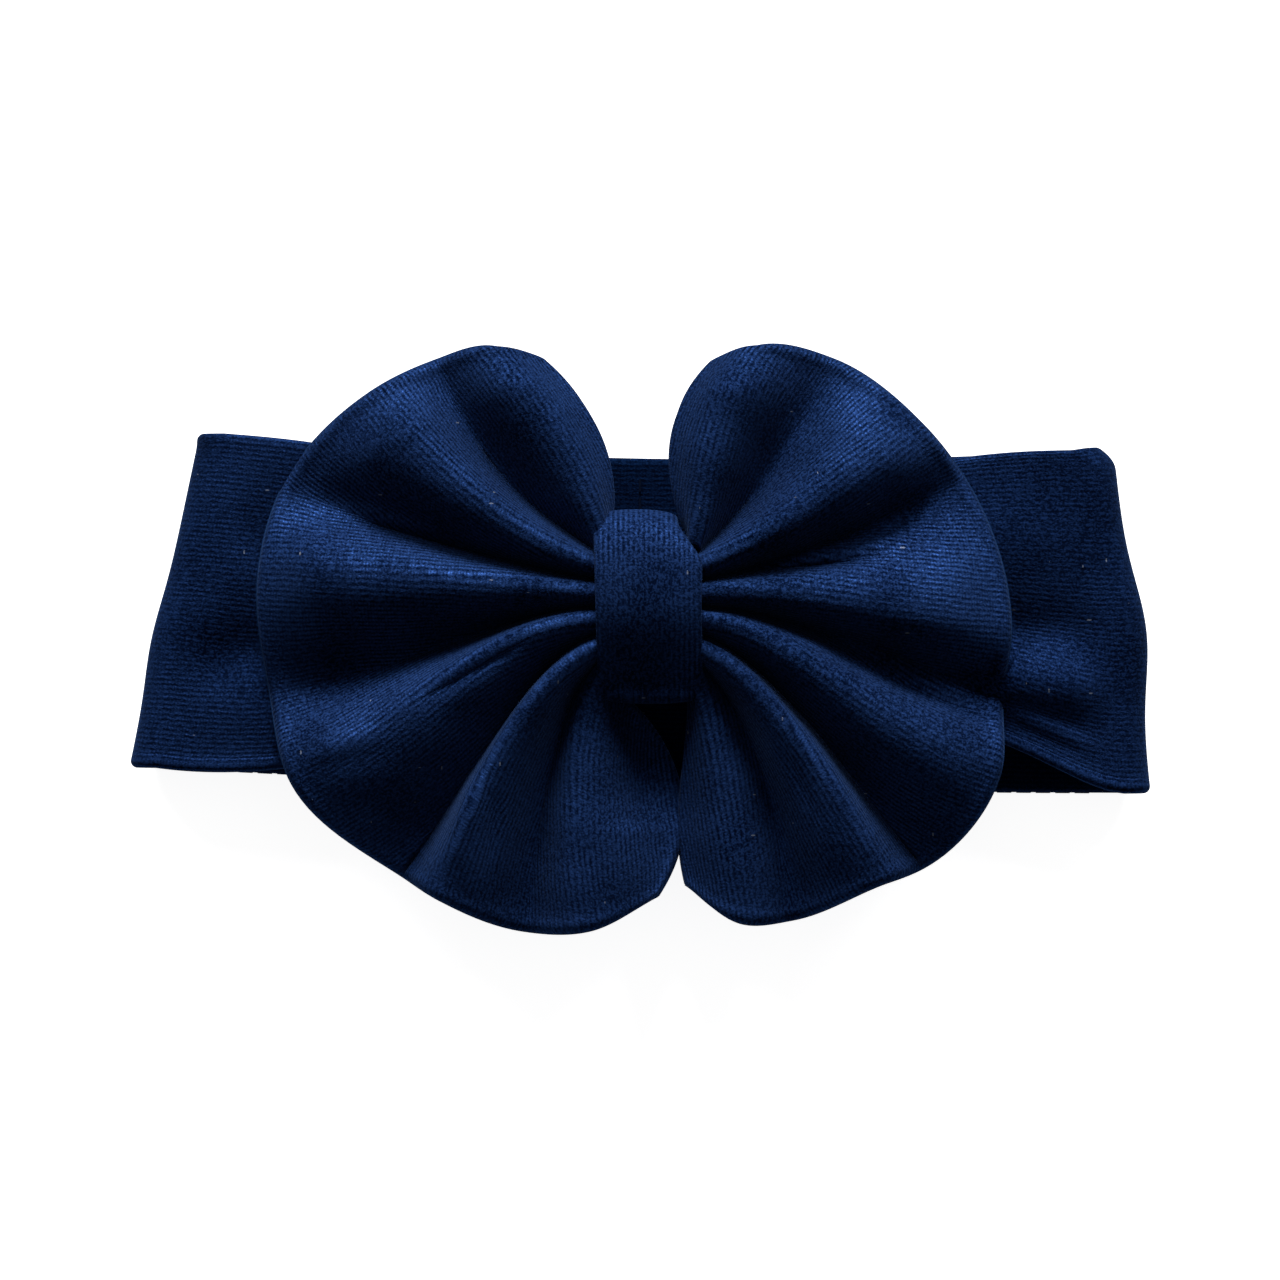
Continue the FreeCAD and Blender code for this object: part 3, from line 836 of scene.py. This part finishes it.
def velvet(name, deep, lit, lustre=0.5):
    """Ribbed stretch velvet: fine ribs, a grainy pile that catches the light, and a little lint.

    Lustre is the share of the blue metallic gloss: a plain gloss turns white where it is seen aslant.
    """
    n = Nodes(name)
    uv = n.add("ShaderNodeUVMap", uv_map="cloth").outputs["UV"]
    place = n.add("ShaderNodeTexCoord").outputs["Object"]
    rib, rib_share = ribs(n, uv, place)
    fuzz = pile(n, uv, place)
    patch = n.span(n.noise(place, 85.0, 3.0), 0.3, 0.7)
    shade = n.math("MULTIPLY_ADD", rib_share, 0.60, n.math("MULTIPLY", fuzz, 0.42))
    shade = n.math("MULTIPLY_ADD", patch, 0.15, shade)
    lint = n.math("MAXIMUM", n.lint(place, (150.0, 520.0, 200.0)), n.lint(place, (480.0, 170.0, 200.0)))
    height = n.math("MULTIPLY_ADD", fuzz, PILE_DEPTH, n.math("MULTIPLY", rib, RIB_DEPTH))
    bump = n.add("ShaderNodeBump", {"Height": height, "Strength": 0.9, "Distance": 1.0})
    return n.finish({
        "Base Color": n.mix(n.math("MULTIPLY", lint, 0.55), n.mix(shade, deep, lit), LINT),
        "Roughness": n.math("MULTIPLY_ADD", shade, -0.46, 0.90),
        "Normal": bump.outputs["Normal"],
    }, {
        "Metallic": lustre,
        "Specular IOR Level": 0.0,
        "Specular Tint": (0.35, 0.55, 1.0, 1),
        "Sheen Weight": 0.05,
        "Sheen Roughness": 0.45,
        "Sheen Tint": (0.30, 0.50, 1.0, 1),
    })


def thread_material(name, deep, lit):
    """Dull twisted thread."""
    n = Nodes(name)
    twist = n.noise(n.add("ShaderNodeTexCoord").outputs["Object"], 3000.0, 2.0)
    return n.finish({"Base Color": n.mix(twist, deep, lit)}, {"Roughness": 0.9, "Specular IOR Level": 0.04})


def floor_material():
    """A white floor that glows enough to show hardly any shadow."""
    return Nodes("floor").finish({}, {
        "Base Color": (0.9, 0.9, 0.905, 1),
        "Roughness": 1.0,
        "Specular IOR Level": 0.0,
        "Emission Color": (1, 1, 1, 1),
        "Emission Strength": 0.88,
    })


# ---------------------------------------------------------------- building it

NAVY_DEEP, NAVY_LIT = (0.0001, 0.0012, 0.0075), (0.0116, 0.0330, 0.115)
bow_velvet = velvet("bow_velvet", NAVY_DEEP, NAVY_LIT)
knot_velvet = velvet("knot_velvet", NAVY_DEEP, NAVY_LIT)
band_velvet = velvet("band_velvet", (0.0001, 0.0010, 0.0062), (0.0080, 0.0240, 0.087))
# The band's back gets a darker, less glossy copy of the band's velvet: painted shade, so that the back
# looks dark where it shows between the wings.
shaded_back_velvet = velvet("band_back_shaded_velvet", (0.0002, 0.0012, 0.006), (0.0024, 0.0100, 0.038), lustre=0.2)
thread = thread_material("thread", (0.0006, 0.0020, 0.008), (0.0015, 0.0050, 0.018))
rim_thread = thread_material("rim_thread", (0.003, 0.012, 0.040), (0.008, 0.030, 0.095))

left_wing, left_grid = make_wing("left", LEFT_PLEATS, LEFT_RIDGES, -1, bow_velvet)
right_wing, right_grid = make_wing("right", RIGHT_PLEATS, RIGHT_RIDGES, 1, bow_velvet)
back, back_grid = make_band_back(shaded_back_velvet)
front_left, front_left_grid = make_band_front(
    "left", LEFT_TURN, -1, LEFT_FRONT_PULLS, LEFT_FRONT_RIDGES, LEFT_SWELL, band_velvet)
front_right, front_right_grid = make_band_front(
    "right", RIGHT_TURN, 1, RIGHT_FRONT_PULLS, RIGHT_FRONT_RIDGES, RIGHT_SWELL, band_velvet)
knot = make_knot(knot_velvet)
bow_bundle = make_gather("bow_bundle", left_grid[:, 0], right_grid[:, 0], bow_velvet,
                         "bow_gather")
band_bundle = make_gather("band_bundle", front_left_grid[-1], front_right_grid[-1], band_velvet,
                          "band_gather")
make_rim_seam("left", left_grid, rim_thread)
make_rim_seam("right", right_grid, rim_thread)
make_long_seam(back_grid, thread)
make_gather_thread(thread)
make_closing_thread(thread)

# The CAD's own threads, of which the join's and the tacks' stay in view.
for name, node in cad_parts.items():
    if name.endswith("thread"):
        node.data.materials.clear()
        node.data.materials.append(thread)

# ---------------------------------------------------------------- floor, lights and camera

FLOOR_REACH, FLOOR_LEVEL = 4.0, -0.0001
CAMERA_HEIGHT = 1.5           # far enough up to see the object almost without perspective
VIEW_WIDTH = 0.2304           # what the picture spans at the floor
SENSOR = 36.0                 # millimetres, as the camera takes it
SUN_HEIGHT = 21               # degrees: low, so that near slopes go dark
WORLD_LIGHT = 0.14            # what light comes evenly from all round


def make_floor():
    signs = ((-1, -1), (1, -1), (1, 1), (-1, 1))
    corners = [(x * FLOOR_REACH, y * FLOOR_REACH, FLOOR_LEVEL) for x, y in signs]
    mesh = bpy.data.meshes.new("floor")
    mesh.from_pydata(corners, [], [(0, 1, 2, 3)])
    mesh.materials.append(floor_material())
    floor = bpy.data.objects.new("floor", mesh)
    floor.visible_glossy = False
    bpy.context.scene.collection.objects.link(floor)


def sun(name, azimuth, strength, spread):
    """A soft distant light. Azimuth 90 shines from the far side, over the top of the picture."""
    light = bpy.data.lights.new(name, "SUN")
    light.energy = strength
    light.angle = math.radians(spread)
    lamp = bpy.data.objects.new(name, light)
    a, e = math.radians(azimuth), math.radians(SUN_HEIGHT)
    toward = Vector((math.cos(a) * math.cos(e), math.sin(a) * math.cos(e), math.sin(e)))
    lamp.rotation_euler = toward.to_track_quat("Z", "Y").to_euler()
    bpy.context.scene.collection.objects.link(lamp)


def make_world():
    world = bpy.data.worlds.new("world")
    world.use_nodes = True
    background = world.node_tree.nodes["Background"]
    background.inputs["Color"].default_value = (1, 1, 1, 1)
    background.inputs["Strength"].default_value = WORLD_LIGHT
    bpy.context.scene.world = world
    bpy.context.scene.view_settings.view_transform = "Standard"


def make_camera():
    camera = bpy.data.objects.new("camera", bpy.data.cameras.new("camera"))
    camera.data.sensor_width = SENSOR
    camera.data.lens = SENSOR * CAMERA_HEIGHT / VIEW_WIDTH
    camera.location = (0, 0, CAMERA_HEIGHT)
    bpy.context.scene.collection.objects.link(camera)
    bpy.context.scene.camera = camera


make_floor()
sun("key", azimuth=90, strength=5.7, spread=16)
sun("key_left", azimuth=122, strength=1.5, spread=20)
sun("key_right", azimuth=58, strength=1.5, spread=20)
make_world()
make_camera()
